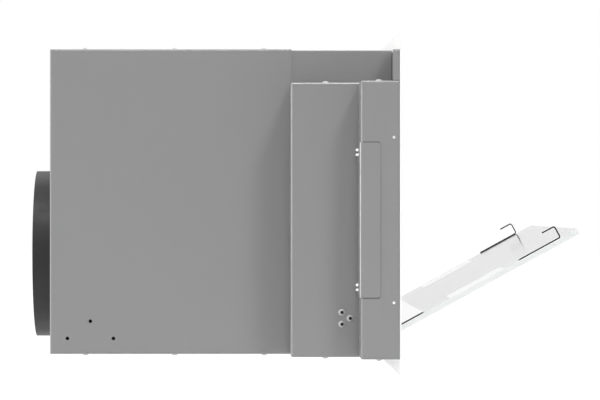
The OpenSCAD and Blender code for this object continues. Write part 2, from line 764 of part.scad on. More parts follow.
// Sheet in front of the circulation fan: holes in rings over the fan, rows of holes at both ends
baffle_hole_r = 3.5;
ring_pitch = 15;
end_hole_r = 4;
end_hole_y = 90;
end_hole_edge = 22;
end_hole_z = 19;
end_columns = 6;
end_rows = 4;
module fan_baffle() in_frame() color(steel) difference() {
    column_pitch = (mouth_y - end_hole_edge - end_hole_y) / (end_columns - 1);
    row_pitch = (chamber_h - 2 * end_hole_z) / (end_rows - 1);
    slab(baffle_x, baffle_x + liner_t, -mouth_y + 0.2, mouth_y - 0.2, chamber_z, mouth_top);
    for (ring = [1 : 3], i = [0 : ring * 6 - 1])
        rotate_about_fan(i * 60 / ring)
            rod_x(baffle_x - 1, baffle_x + 2, baffle_hole_r, ring * ring_pitch, 0);
    both_sides() for (i = [0 : end_columns - 1], j = [0 : end_rows - 1])
        rod_x(baffle_x - 1, baffle_x + 2, end_hole_r,
            end_hole_y + i * column_pitch, chamber_z + end_hole_z + j * row_pitch);
    rod_x(baffle_x - 1, baffle_x + 2, probe_r + fit_gap, probe_y, probe_z);
}
module rotate_about_fan(a) translate([0, 0, fan_z]) rotate([a, 0, 0]) children();

// The probe's length behind the plenum wall and in front of the baffle
probe_tail = 14;
probe_reach = 25;
module thermocouple() in_frame() color(steel) {
    rod_x(plenum_l - probe_tail, baffle_x + probe_reach, probe_r, probe_y, probe_z);
    rod_x(plenum_l - probe_tail, plenum_l - sheet, 3 * probe_r, probe_y, probe_z);
}

circ_motor_r = 26;
circ_motor_l = 30;
circ_flange_r = 36;
circ_flange_t = 2;
circ_shaft_l = 20;
module circulation_motor() in_frame() color(dark) difference() {
    back_x = plenum_l - sheet;
    union() {
        rod_x(back_x - circ_motor_l, back_x, circ_motor_r, 0, fan_z);
        rod_x(back_x - circ_flange_t, back_x, circ_flange_r, 0, fan_z);
    }
    rod_x(back_x - circ_shaft_l - 2, plenum_l + 1, motor_shaft_r + run_gap, 0, fan_z);
}

// Backward-leaning blades on a round plate
impeller_r = 54;
impeller_eye_r = 28;
impeller_x = chamber_x + 6;
impeller_l = 18;
impeller_t = 1.5;
impeller_hub_r = 9;
impeller_blades = 12;
impeller_lean = 35;
module circulation_impeller() in_frame() color(steel) {
    rod_x(plenum_l - sheet - circ_shaft_l, impeller_x + impeller_l, motor_shaft_r, 0, fan_z);
    rod_x(impeller_x, impeller_x + impeller_l + 2, impeller_hub_r, 0, fan_z);
    rod_x(impeller_x, impeller_x + impeller_t, impeller_r, 0, fan_z);
    for (i = [0 : impeller_blades - 1]) rotate_about_fan(i * 360 / impeller_blades)
        translate([impeller_x + impeller_t / 2, impeller_eye_r, 0]) rotate([impeller_lean, 0, 0])
            cube([impeller_l - impeller_t / 2, impeller_r - impeller_eye_r - 1, impeller_t]);
}

rail_w = 14;
rail_t = 1.2;
rail_up = 8;
module tray_rails() in_frame() color(steel) both_sides() {
    rail_x0 = baffle_x + liner_t + 3;
    rail_x1 = rim_x - 2;
    rail_top = tray_z - fit_gap;
    slab(rail_x0, rail_x1, mouth_y - rail_w, mouth_y, rail_top - rail_t, rail_top);
    slab(rail_x0, rail_x1, mouth_y - rail_t, mouth_y, rail_top - rail_t, tray_z + rail_up);
}

// Flat frame with wires across it, and two straps under the wires
tray_rear = 10;
tray_front = 14;
tray_strap = 6;
strap_y = 90;
module tray() in_frame() color(steel) {
    wire_pitch = (tray_x1 - tray_front - tray_x0 - tray_rear) / (wire_count + 1);
    difference() {
        slab(tray_x0, tray_x1, -tray_y, tray_y, tray_z, tray_z + tray_t);
        slab(tray_x0 + tray_rear, tray_x1 - tray_front, -tray_y + tray_side, tray_y - tray_side,
            tray_z - 1, tray_z + tray_t + 1);
    }
    for (i = [1 : wire_count])
        rod_y(-tray_y + tray_side / 2, tray_y - tray_side / 2, wire_r,
            tray_x0 + tray_rear + wire_pitch * i, tray_z + tray_t + wire_r - 0.5);
    for (y = [-strap_y, strap_y])
        slab(tray_x0 + tray_rear / 2, tray_x1 - tray_front / 2, y - tray_strap / 2, y + tray_strap / 2,
            tray_z, tray_z + tray_t);
}

// Lip on the tray's front edge, bent forwards at its middle as a grip
lip_h = 14;
lip_y = 120;
grip_y = 50;
grip_l = 8;
module tray_handle() in_frame() color(steel) {
    slab(tray_x1, tray_x1 + tray_t, -lip_y, lip_y, tray_z, tray_z + lip_h);
    slab(tray_x1, tray_x1 + grip_l, -grip_y, grip_y, tray_z + lip_h - tray_t, tray_z + lip_h);
}

// Exhaust

// Moulded collar: full width behind the casing, a narrower neck through the rear panel and a
// flange inside it
neck_step = 0.8;
collar_lap = 5;
module exhaust_collar() in_frame() color(dark) translate([0, 0, collar_z]) difference() {
    collar_r = collar_d / 2;
    union() {
        rod_x(-collar_l, 0, collar_r);
        rod_x(-1, 2 * sheet, collar_r - neck_step);
        rod_x(sheet, 2 * sheet, collar_r + collar_lap);
    }
    rod_x(-collar_l - 1, -2 * collar_t, collar_r - collar_t);
    rod_x(-collar_l, 2 * sheet + 1, collar_r - neck_step - collar_t);
}

fan_hub_r = 34;
fan_tip_r = collar_d / 2 - 8;
fan_x0 = 2 * sheet + 2;
fan_l = 38;
fan_ring_r = collar_d / 2 - 3;
fan_ring_t = 3;
fan_plate_t = 9;
strut_w = 8;
strut_t = 5;
module exhaust_fan_frame() in_frame() color(dark) translate([0, 0, collar_z]) {
    fan_x1 = fan_x0 + fan_l;
    difference() {
        union() {
            rod_x(fan_x0, fan_x1, fan_ring_r);
            rod_x(2 * sheet, fan_x0, fan_ring_r + 2 * fan_ring_t);
        }
        rod_x(0, fan_x1 + 1, fan_ring_r - fan_ring_t);
    }
    difference() {
        union() {
            rod_x(fan_x1 - fan_plate_t, fan_x1, fan_hub_r);
            for (a = [45 : 90 : 315]) rotate([a, 0, 0])
                slab(fan_x1 - strut_t, fan_x1, fan_hub_r - 3, fan_ring_r - 1, -strut_w / 2, strut_w / 2);
        }
        rod_x(fan_x1 - fan_plate_t - 1, fan_x1 - 2, motor_shaft_r + run_gap);
    }
}

// A cambered blade: part of a thin tube whose axis points outwards
blade_camber_r = 45;
blade_t = 1.6;
blade_pitch = 30;
blade_depth = 12;
module fan_blade() intersection() {
    rotate([0, blade_pitch, 0]) translate([-blade_camber_r, 0, 0]) difference() {
        rod_y(fan_hub_r - 6, fan_tip_r + 4, blade_camber_r + blade_t / 2);
        rod_y(fan_hub_r - 7, fan_tip_r + 5, blade_camber_r - blade_t / 2);
    }
    slab(-blade_depth, blade_depth, fan_hub_r - 4, fan_tip_r + 2, -22, 26);
    rod_x(-20, 20, fan_tip_r);
}
module exhaust_fan_rotor() in_frame() color(dark) translate([fan_x0 + blade_depth + 2, 0, collar_z]) {
    rod_x(-blade_depth - 1, blade_depth + 1.5, fan_hub_r);
    rod_x(blade_depth + 1, blade_depth + 8, motor_shaft_r);
    for (i = [0 : blade_count - 1]) rotate([i * 360 / blade_count, 0, 0]) fan_blade();
}

// Controls

front_x = body_l + fascia_t;
display_deep = 8;
module display() in_frame() color(dark) translate([0, controls_y, display_z]) {
    along_x(plate_x - display_deep, front_x - 0.2) display_outline(0);
    along_x(plate_x - display_deep, plate_x - 0.1) display_outline(2);
}

knob_l = 15.4;
knob_gap = 0.6;
knob_grooves = 18;
groove_r = 1.2;
knob_shaft_l = 14;
module menu_knob() in_frame() color(dark) translate([0, controls_y, knob_z]) {
    knob_x = front_x + knob_gap;
    difference() {
        rod_x(knob_x, knob_x + knob_l, knob_r);
        for (i = [0 : knob_grooves - 1]) rotate([i * 360 / knob_grooves, 0, 0])
            rod_x(knob_x + 2 * groove_r, knob_x + knob_l + 1, groove_r, knob_r + groove_r / 3);
    }
    rod_x(plate_x - knob_shaft_l, knob_x + 1, motor_shaft_r);
}
encoder_w = 14;
encoder_l = 8;
module menu_encoder() in_frame() color(zinc) translate([0, controls_y, knob_z]) difference() {
    encoder_x = plate_x - knob_shaft_l + 2;
    union() {
        along_x(encoder_x, encoder_x + encoder_l)
            round_plate(encoder_w, encoder_w, 1);
        rod_x(encoder_x + encoder_l - 1, plate_x - 0.1, motor_shaft_r + 2);
    }
    rod_x(encoder_x - 10, plate_x + 1, motor_shaft_r + run_gap);
}

button_out = 3;
button_deep = 6;
button_flange = 1.5;
switch_l = 16.2;
module push_button(side) translate([0, controls_y + side * button_y, button_z]) {
    rod_x(plate_x - button_deep, front_x + button_out, button_r);
    rod_x(plate_x - button_deep / 2 - fit_gap, plate_x - fit_gap, button_r + button_flange);
}
module start_button() in_frame() color([0.1, 0.55, 0.2]) push_button(-1);
module stop_button() in_frame() color([0.75, 0.1, 0.1]) push_button(1);
module button_switches() in_frame() color(dark) for (side = [-1, 1])
    translate([0, controls_y + side * button_y, button_z]) {
        switch_x = plate_x - button_deep - button_travel - fit_gap;
        along_x(switch_x - switch_l, switch_x) round_plate(2 * button_r, 2 * button_r, 1);
    }

board_t = 1.6;
board_gap = 6;
board_post_r = 2.5;
chip_w = 24;
connector_w = 8;
connector_h = 34;
module control_board() in_frame() {
    board_x = plate_x - button_deep - button_travel - fit_gap - switch_l - board_t;
    board_y = [half_w + board_gap, drive_y - board_gap];
    low_z = button_z - 20;
    high_z = display_z + display_h / 2 + 12;
    color([0.05, 0.3, 0.12]) slab(board_x, board_x + board_t, board_y[0], board_y[1], low_z, high_z);
    color(dark) {
        slab(board_x - 4, board_x, controls_y - chip_w / 2, controls_y + chip_w / 2,
            knob_z + 15, knob_z + 15 + chip_w);
        slab(board_x - 9, board_x, board_y[0] + board_gap, board_y[0] + board_gap + connector_w,
            knob_z - 22, knob_z - 22 + connector_h);
    }
    color(steel) for (y = [board_y[0] + 4, board_y[1] - 4], z = [low_z + 4, high_z - 4])
        rod_x(board_x + board_t, plate_x, board_post_r, y, z);
}

// Electronics on the floor of the casing, under the chamber
floor_z = skin_low + sheet;
psu_back = 80;
psu_side = 43;
psu_l = 110;
psu_w = 95;
psu_h = 38;
psu_x = plenum_l + psu_back;
psu_y0 = half_w - psu_side - psu_w;
terminal_l = 12;
terminal_in = 6;
terminal_h = 18;
module power_supply() in_frame() {
    color(steel) slab(psu_x, psu_x + psu_l, psu_y0, psu_y0 + psu_w, floor_z, floor_z + psu_h);
    color(dark) slab(psu_x + psu_l, psu_x + psu_l + terminal_l, psu_y0 + terminal_in,
        psu_y0 + psu_w - terminal_in, floor_z, floor_z + terminal_h);
}
relay_count = 3;
relay_pitch = 60;
relay_l = 58;
relay_w = 45;
relay_h = 23;
sink_back = 30;
sink_gap = 31;
sink_l = 78;
sink_w = 53;
sink_x = psu_x + sink_back;
sink_y = psu_y0 - sink_gap - sink_w;
sink_h = 22;
sink_base = 4.5;
fin_count = 7;
fin_t = 1.5;
module solid_state_relays() in_frame() for (i = [0 : relay_count - 1])
    translate([sink_x, sink_y - i * relay_pitch, floor_z]) {
        fin_pitch = (sink_w - 3 * fin_t) / (fin_count - 1);
        color(dark) translate([(sink_l - relay_l) / 2, (sink_w - relay_w) / 2, sink_h])
            cube([relay_l, relay_w, relay_h]);
        color(steel) {
            cube([sink_l, sink_w, sink_base]);
            for (j = [0 : fin_count - 1])
                translate([0, fin_t + j * fin_pitch, sink_base - 0.5])
                    cube([sink_l, fin_t, sink_h - sink_base + 0.5]);
        }
    }

rocker_z = inlet_z + 17;
rocker_x = 2;
rocker_tilt = 8;
rocker_r = 8;
rocker_y = 11;
// Flange of the inlet, drawn smaller by a margin for its body behind the panel
module inlet_outline(margin, r) round_rect(-inlet_w / 2 + margin, inlet_w / 2 - margin,
    inlet_z - inlet_h / 2 + margin, inlet_z + inlet_h / 2 - margin, r);
module inlet_pins() for (pin = [[-7, -2], [0, 4], [7, -2]])
    slab(-1, 20, pin[0] - 1, pin[0] + 1, inlet_z - 14 + pin[1], inlet_z - 8 + pin[1]);
module mains_inlet() in_frame() color(dark) translate([0, inlet_y, 0]) difference() {
    union() {
        along_x(-3, 0) inlet_outline(0, 3);
        along_x(0, 30) inlet_outline(inlet_edge + fit_gap, 2);
    }
    difference() {
        along_x(-4, 18) translate([0, inlet_z - 12])
            polygon([[-14, -10], [14, -10], [14, 5], [9, 10], [-9, 10], [-14, 5]]);
        inlet_pins();
    }
    slab(-4, 12, -rocker_y - fit_gap, rocker_y + fit_gap,
        rocker_z - rocker_r - fit_gap, rocker_z + rocker_r + fit_gap);
}
module power_rocker() in_frame() color([0.6, 0.08, 0.06])
    translate([rocker_x, inlet_y, rocker_z]) rotate([0, rocker_tilt, 0]) intersection() {
        rod_y(-rocker_y, rocker_y, rocker_r);
        slab(-6, 7, -rocker_y, rocker_y, -rocker_r, rocker_r);
    }

side_cover_left();
side_cover_right();
base_pan();
top_pan();
rear_panel();
front_chassis();
front_frame();
front_fascia();
drive_box_left();
drive_box_right();
end_box_left();
end_box_right();
slot_cover_left();
slot_cover_right();
cover_screws();
box_screws();
hinge_screws();
slot_cover_screws();
frame_screws();
door_glass();
door_lower_plate();
door_upper_clips();
door_arms();
hinge_shafts();
hinge_bushes();
hinge_blocks();
door_buffers();
door_gear_sector();
drive_pinion();
door_motor();
door_motor_bracket();
chamber_liner();
insulation();
front_bulkhead();
rear_bulkhead();
door_gasket();
heaters_top();
heaters_bottom();
heater_holders();
fan_baffle();
thermocouple();
circulation_motor();
circulation_impeller();
tray_rails();
tray();
tray_handle();
exhaust_collar();
exhaust_fan_frame();
exhaust_fan_rotor();
display();
menu_knob();
menu_encoder();
start_button();
stop_button();
button_switches();
control_board();
power_supply();
solid_state_relays();
mains_inlet();
power_rocker();
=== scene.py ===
"""Looks for the panel-mounted reflow oven. Row frame: +X out of the door, +Z up, metres."""

import json
import math

import bmesh
import bpy
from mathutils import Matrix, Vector


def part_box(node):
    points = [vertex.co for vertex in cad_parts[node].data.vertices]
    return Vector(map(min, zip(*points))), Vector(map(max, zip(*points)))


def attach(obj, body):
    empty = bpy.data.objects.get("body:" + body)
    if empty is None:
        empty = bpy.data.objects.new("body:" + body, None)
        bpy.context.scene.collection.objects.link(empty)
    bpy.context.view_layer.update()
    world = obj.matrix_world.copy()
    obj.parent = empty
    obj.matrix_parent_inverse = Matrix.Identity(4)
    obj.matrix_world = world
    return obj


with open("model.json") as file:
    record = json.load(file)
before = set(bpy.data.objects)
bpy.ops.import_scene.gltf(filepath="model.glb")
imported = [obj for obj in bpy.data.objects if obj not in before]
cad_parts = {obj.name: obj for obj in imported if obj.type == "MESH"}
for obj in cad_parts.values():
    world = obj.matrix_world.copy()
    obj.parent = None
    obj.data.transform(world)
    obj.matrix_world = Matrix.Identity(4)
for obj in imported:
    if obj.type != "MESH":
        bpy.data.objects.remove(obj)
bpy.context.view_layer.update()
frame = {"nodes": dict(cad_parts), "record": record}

# Planes of the solids, in metres, as the source gives them
PIVOT = Vector((-0.058, 0.0, -0.1275))
TRAVEL = math.radians(61.3)
GLASS_U = 0.042           # inner face of the glass ahead of the hinge axis, door closed
GLASS_HALF = 0.243
GLASS_V = (0.006, 0.279)  # lower and upper edge of the glass above the hinge axis
GLASS_CORNER = 0.003
BARE_V = 0.152            # middle of the two fields that the print leaves bare, at the side edges
BARE_HALF = (0.035, 0.070)
BARE_CORNER = 0.012
FLOOR_Z = -0.30

# Looks
CASING_GREY = (0.253, 0.253, 0.256)
BLACK = (0.012, 0.012, 0.013)
BURNT = (0.006, 0.006, 0.0065)
SOFT = 0.0002             # half the width of a painted edge
SOCKET_SHADE_RADIUS = 0.00185          # radius of the painted shade over the hexagon socket in the M4 button heads
HIGHLIGHT_GLOSS = 0.1        # how much smoother the paint is under the painted bend highlights

# Painted shade: a dark line on the end box about the slot cover, the shade between the two parts
SHADE_LINE_GREY = (0.05, 0.05, 0.05)
SHADE_LINE_EDGES = (0.0005, 0.0012)  # the painted shade line fades out between these distances from the sheet
SHADE_LINE_COVER = 0.9
SHADE_LINE_FRONT = 0.3   # share of that cover along the sheet's front edge

VEIL = (0.66, 0.80)       # cover of the screen printed on the glass
VEIL_GREY = (0.46, 0.47, 0.47)
GROUND_GREY = (0.80, 0.825, 0.818)
GROUND_COVER = 0.92
CLEAR_ROUGH, PRINT_ROUGH, GROUND_ROUGH = 0.012, 0.11, 0.35  # the last two add to the first

# Light
FLOOR_REACH = 14.0
SEEN_WHITE = 1.12         # the floor where the camera sees it, so that it ends in the world's white
MIRRORED_WHITE = 1.7      # the floor in reflections
FLOOR_GLOW = 0.75         # share of that white in what is seen of the floor; the rest takes the shadow
AMBIENT = 0.225           # the world's light on the object
SUNS = {                  # strength, width in degrees, direction to the sun
    "key": (1.12, 13, (0.6, -1.0, 1.35)),
    "top": (1.05, 10, (0.0, -1.0, 1.5)),
    "left_fill": (0.25, 40, (-0.45, -1.0, 0.5)),
    "rear_fill": (2.8, 60, (-1.0, 0.15, 0.15)),
    "front_fill": (0.62, 60, (1.0, 0.2, 0.3)),
    "far_fill": (0.7, 40, (0.3, 1.0, 1.2)),
}

# The photograph's camera: focal length and principal point in pixels, place in the row frame
FOCAL, CENTRE = 2889.0, (218, 205)
PICTURE = (600, 400)
CAMERA_AT = (-0.1956, -3.480, -0.0038)
SENSOR = 36.0


# ---------------------------------------------------------------- node helpers

def new_material(name):
    m = bpy.data.materials.new(name)
    m.use_nodes = True
    return m, *shader_of(m)


def shader_of(m):
    return m.node_tree, m.node_tree.nodes["Principled BSDF"]


def node(nt, kind, **props):
    n = nt.nodes.new(kind)
    for k, v in props.items():
        setattr(n, k, v)
    return n


def feed(nt, socket, value):
    """Set a socket to a constant, or link it to an output."""
    if isinstance(value, bpy.types.NodeSocket):
        nt.links.new(value, socket)
    else:
        socket.default_value = value


def coords(nt, stretch=(1, 1, 1)):
    c = node(nt, "ShaderNodeTexCoord").outputs["Object"]
    if tuple(stretch) == (1, 1, 1):
        return c
    m = node(nt, "ShaderNodeMapping")
    feed(nt, m.inputs["Vector"], c)
    m.inputs["Scale"].default_value = stretch
    return m.outputs["Vector"]


def noise(nt, scale, detail=2.0, rough=0.5, vector=None):
    n = node(nt, "ShaderNodeTexNoise")
    feed(nt, n.inputs["Vector"], vector or coords(nt))
    n.inputs["Scale"].default_value = scale
    n.inputs["Detail"].default_value = detail
    n.inputs["Roughness"].default_value = rough
    return n.outputs["Fac"]


def spread(nt, value, low, high, start=0.3, end=0.7):
    """Value from start..end to low..high."""
    r = node(nt, "ShaderNodeMapRange")
    feed(nt, r.inputs["Value"], value)
    for k, v in zip(("From Min", "From Max", "To Min", "To Max"), (start, end, low, high)):
        r.inputs[k].default_value = v
    return r.outputs["Result"]


def below(nt, value, limit, soft=SOFT):
    """1 where the value is below a limit, 0 above it."""
    return spread(nt, value, 1.0, 0.0, limit - soft, limit + soft)


def above(nt, value, limit, soft=SOFT):
    return spread(nt, value, 0.0, 1.0, limit - soft, limit + soft)


def math_node(nt, op, a, b=0.0, c=0.0):
    n = node(nt, "ShaderNodeMath", operation=op)
    for s, v in zip(n.inputs, (a, b, c)):
        feed(nt, s, v)
    return n.outputs[0]


def plus(nt, a, b):
    return math_node(nt, "ADD", a, b)


def minus(nt, a, b):
    return math_node(nt, "SUBTRACT", a, b)


def times(nt, a, b):
    return math_node(nt, "MULTIPLY", a, b)


def absolute(nt, a):
    return math_node(nt, "ABSOLUTE", a)


def length(nt, a, b):
    return math_node(nt, "SQRT", math_node(nt, "MULTIPLY_ADD", a, a, times(nt, b, b)))


def ramp(nt, value, stops):
    r = node(nt, "ShaderNodeValToRGB")
    feed(nt, r.inputs["Fac"], value)
    e = r.color_ramp.elements
    while len(e) < len(stops):
        e.new(0.5)
    for el, (p, c) in zip(e, stops):
        el.position, el.color = p, (*c, 1)
    return r.outputs["Color"]


def mix_color(nt, fac, a, b):
    n = node(nt, "ShaderNodeMix", data_type="RGBA", blend_type="MIX")
    feed(nt, n.inputs[0], fac)
    for s, v in ((n.inputs[6], a), (n.inputs[7], b)):
        feed(nt, s, (*v, 1) if isinstance(v, tuple) and len(v) == 3 else v)
    return n.outputs[2]


def lay_over(nt, b, where, color):
    """A colour over the base colour so far, where `where` is 1."""
    tone = b.inputs["Base Color"].links[0].from_socket
    feed(nt, b.inputs["Base Color"], mix_color(nt, where, tone, color))


def bump(nt, bsdf, height, strength, distance):
    b = node(nt, "ShaderNodeBump")
    b.inputs["Strength"].default_value = strength
    b.inputs["Distance"].default_value = distance
    feed(nt, b.inputs["Height"], height)
    nt.links.new(b.outputs["Normal"], bsdf.inputs["Normal"])


def shade(c, k):
    return tuple(min(1.0, v * k) for v in c)


def axes(nt):
    """x, y and z of the row frame."""
    n = node(nt, "ShaderNodeSeparateXYZ")
    feed(nt, n.inputs[0], node(nt, "ShaderNodeTexCoord").outputs["Object"])
    return n.outputs


def faces_sideways(nt):
    """1 on faces that look along Y, which a turn of the door doesn't change."""
    n = node(nt, "ShaderNodeSeparateXYZ")
    feed(nt, n.inputs[0], node(nt, "ShaderNodeNewGeometry").outputs["True Normal"])
    return above(nt, absolute(nt, n.outputs[1]), 0.9, 0.05)


# ---------------------------------------------------------------- materials

def coated(name, color, roughness=0.38, vary=0.02, peel=0.05, peel_scale=1100, gloss_vary=0.045):
    """Paint or moulded plastic: fine surface texture, slight change of tone and gloss."""
    m, nt, b = new_material(name)
    cloud = spread(nt, noise(nt, 7, 3), 0, 1, 0.25, 0.75)
    feed(nt, b.inputs["Base Color"],
         ramp(nt, cloud, [(0, shade(color, 1 - vary)), (1, shade(color, 1 + vary))]))
    gloss = spread(nt, noise(nt, 60, 3), roughness - gloss_vary, roughness + gloss_vary)
    feed(nt, b.inputs["Roughness"], gloss)
    bump(nt, b, noise(nt, peel_scale, 2), peel, 0.0002)
    return m


def brushed(name, color, along, roughness=0.3, strength=0.08, metallic=1.0):
    """Metal with fine grinding lines that run along one axis."""
    m, nt, b = new_material(name)
    grain = [9.0 if axis == along else 900.0 for axis in "XYZ"]
    lines = noise(nt, 1.0, 3, 0.6, coords(nt, grain))
    cloud = noise(nt, 12, 3)
    tone = ramp(nt, spread(nt, lines, 0, 1), [(0, shade(color, 0.93)), (1, shade(color, 1.04))])
    feed(nt, b.inputs["Base Color"],
         mix_color(nt, spread(nt, cloud, 0.0, 0.5), tone, shade(color, 0.95)))
    b.inputs["Metallic"].default_value = metallic
    feed(nt, b.inputs["Roughness"],
         plus(nt, spread(nt, lines, roughness - 0.04, roughness + 0.06), spread(nt, cloud, -0.02, 0.03)))
    bump(nt, b, lines, strength, 0.00015)
    return m


def casing_paint(name):
    """The casing's grey. Its roughness stays below 0.27: above that the denoiser leaves patches."""
    return coated(name, CASING_GREY, 0.262, 0.003, 0.02, 350, 0.007)


def paint_bend_highlights(m, low, high, width, highlight_paint, depth=0.0015, top=True):
    """Paint lightened along the upright bend at the rear of a piece, and along its upper bend: a painted
    highlight on those bends.
    """
    nt, b = shader_of(m)
    x, y, z = axes(nt)
    wobble = spread(nt, noise(nt, 90, 3), -SOFT, SOFT, 0.0, 1.0)
    highlit = below(nt, plus(nt, x, wobble), low[0] + width)
    if top:
        highlit = math_node(nt, "MAXIMUM", highlit, above(nt, plus(nt, z, wobble), high[2] - width))
    highlit = times(nt, highlit, above(nt, absolute(nt, y), high[1] - depth))
    # painted highlight: the paint is lighter where light would catch the bends
    lay_over(nt, b, highlit, highlight_paint)
    gloss = b.inputs["Roughness"].links[0].from_socket
    feed(nt, b.inputs["Roughness"], minus(nt, gloss, times(nt, highlit, HIGHLIGHT_GLOSS)))
    return m


def coated_with_shade_line(name, low, high, corner):
    """The paint of the casing with a painted shade line about a sheet that lies on it.

    The sheet's corners low and high are given by x and z. Its front edge has the faintest painted shade.
    """
    m = casing_paint(name)
    nt, b = shader_of(m)
    x, _, z = axes(nt)
    mid = [(a + c) / 2 for a, c in zip(low, high)]
    half = [(c - a) / 2 for a, c in zip(low, high)]
    away = rounded_box(nt, x, z, mid, half, corner)
    shade_line = spread(nt, away, SHADE_LINE_COVER, 0.0, *(corner + edge for edge in SHADE_LINE_EDGES))
    shade_line = times(nt, shade_line, spread(nt, x, 1.0, SHADE_LINE_FRONT, high[0] - 0.001, high[0]))
    # painted shade: the paint darkens about the sheet's outline
    lay_over(nt, b, shade_line, SHADE_LINE_GREY)
    return m


def polished(name, color, roughness=0.07):
    """Polished sheet with fine wipe marks; its laser-cut ends, which face sideways, are burnt dark."""
    m, nt, b = new_material(name)
    end = faces_sideways(nt)
    wipes = noise(nt, 1.0, 3, 0.6, coords(nt, (260, 40, 260)))
    tone = ramp(nt, spread(nt, wipes, 0, 1), [(0, shade(color, 0.97)), (1, color)])
    feed(nt, b.inputs["Base Color"], mix_color(nt, end, tone, BURNT))
    b.inputs["Metallic"].default_value = 1.0
    gloss = spread(nt, wipes, roughness - 0.02, roughness + 0.04)
    feed(nt, b.inputs["Roughness"], plus(nt, gloss, times(nt, end, 0.4)))
    bump(nt, b, wipes, 0.02, 0.0001)
    return m


def zinc_plate(name, color, roughness):
    """Zinc plated sheet: soft spangle and cloudy gloss."""
    m, nt, b = new_material(name)
    grains = node(nt, "ShaderNodeTexVoronoi", feature="F1")
    feed(nt, grains.inputs["Vector"], coords(nt))
    grains.inputs["Scale"].default_value = 160
    grey = node(nt, "ShaderNodeRGBToBW")
    feed(nt, grey.inputs[0], grains.outputs["Color"])
    feed(nt, b.inputs["Base Color"],
         ramp(nt, grey.outputs[0], [(0.2, shade(color, 0.9)), (0.9, shade(color, 1.06))]))
    b.inputs["Metallic"].default_value = 0.75
    feed(nt, b.inputs["Roughness"], spread(nt, noise(nt, 30, 3), roughness - 0.06, roughness + 0.08))
    bump(nt, b, noise(nt, 700, 2), 0.05, 0.0002)
    return m


def turned(name, color, roughness=0.22, metallic=1.0):
    """Small machined or pressed metal parts."""
    m, nt, b = new_material(name)
    cloud = spread(nt, noise(nt, 350, 3), 0, 1)
    feed(nt, b.inputs["Base Color"],
         ramp(nt, cloud, [(0, shade(color, 0.9)), (1, shade(color, 1.05))]))
    b.inputs["Metallic"].default_value = metallic
    feed(nt, b.inputs["Roughness"], spread(nt, noise(nt, 900, 2), roughness - 0.04, roughness + 0.08))
    bump(nt, b, noise(nt, 2500, 1), 0.04, 0.0001)
    return m


def socketed(name, color, across, places):
    """Button-head screws with painted shade in their hexagon sockets; places are points on two axes of
    the frame.
    """
    m = turned(name, color, 0.4, 0.15)
    nt, b = shader_of(m)
    c = axes(nt)
    p, q = (absolute(nt, c[i]) if i == 1 else c[i] for i in across)
    near = 1.0
    for a, e in places:
        near = math_node(nt, "MINIMUM", near, length(nt, minus(nt, p, a), minus(nt, q, e)))
    # painted shade: a near-black disc where the socket's recess is in shade
    lay_over(nt, b, below(nt, near, SOCKET_SHADE_RADIUS, 0.00015), (0.006, 0.006, 0.006))
    return m


def contacts(name, places, half):
    """Black moulded body with nickel plated blades; places are the blades' middles in Y and Z."""
    m = coated(name, BLACK, 0.42, 0.15, 0.12, 900)
    nt, b = shader_of(m)
    _, y, z = axes(nt)
    out = 1.0
    for py, pz in places:
        dy = minus(nt, absolute(nt, minus(nt, y, py)), half[0])
        dz = minus(nt, absolute(nt, minus(nt, z, pz)), half[1])
        out = math_node(nt, "MINIMUM", out, math_node(nt, "MAXIMUM", dy, dz))
    blade = math_node(nt, "LESS_THAN", out, 0.0)
    lay_over(nt, b, blade, (0.62, 0.60, 0.55))
    feed(nt, b.inputs["Metallic"], blade)
    return m


def wool_board(name):
    m, nt, b = new_material(name)
    fibres = noise(nt, 1.0, 4, 0.7, coords(nt, (420, 420, 90)))
    feed(nt, b.inputs["Base Color"],
         ramp(nt, spread(nt, fibres, 0, 1), [(0, (0.52, 0.47, 0.36)), (1, (0.76, 0.71, 0.58))]))
    feed(nt, b.inputs["Roughness"], spread(nt, fibres, 0.85, 1.0))
    bump(nt, b, fibres, 0.5, 0.001)
    return m


def silicone(name, color):
    m, nt, b = new_material(name)
    cloud = spread(nt, noise(nt, 25, 3), 0, 1)
    feed(nt, b.inputs["Base Color"],
         ramp(nt, cloud, [(0, shade(color, 0.88)), (1, shade(color, 1.08))]))
    feed(nt, b.inputs["Roughness"], spread(nt, noise(nt, 200, 3), 0.48, 0.62))
    bump(nt, b, noise(nt, 1500, 2), 0.08, 0.0002)
    return m


def quartz(name):
    """Frosted tube that shows its coil as bands across it."""
    m, nt, b = new_material(name)
    w = node(nt, "ShaderNodeTexWave", wave_type="BANDS", bands_direction="Y")
    feed(nt, w.inputs["Vector"], coords(nt))
    w.inputs["Scale"].default_value = 110
    w.inputs["Distortion"].default_value = 0.6
    w.inputs["Detail"].default_value = 1
    tones = [(0.15, (0.30, 0.22, 0.16)), (0.55, (0.62, 0.57, 0.50)), (1, (0.74, 0.71, 0.66))]
    feed(nt, b.inputs["Base Color"], ramp(nt, w.outputs["Fac"], tones))
    feed(nt, b.inputs["Roughness"], spread(nt, noise(nt, 90, 3), 0.12, 0.22))
    b.inputs["Coat Weight"].default_value = 0.6
    b.inputs["Coat Roughness"].default_value = 0.06
    bump(nt, b, w.outputs["Fac"], 0.15, 0.0003)
    return m


def board(name):
    m, nt, b = new_material(name)
    tracks = node(nt, "ShaderNodeTexBrick")
    feed(nt, tracks.inputs["Vector"], coords(nt, (1, 300, 300)))
    cloud = spread(nt, noise(nt, 260, 2), 0, 1)
    feed(nt, b.inputs["Base Color"],
         ramp(nt, cloud, [(0, (0.008, 0.07, 0.025)), (1, (0.015, 0.13, 0.045))]))
    feed(nt, b.inputs["Roughness"], spread(nt, noise(nt, 120, 2), 0.25, 0.4))
    bump(nt, b, tracks.outputs["Fac"], 0.1, 0.0001)
    return m


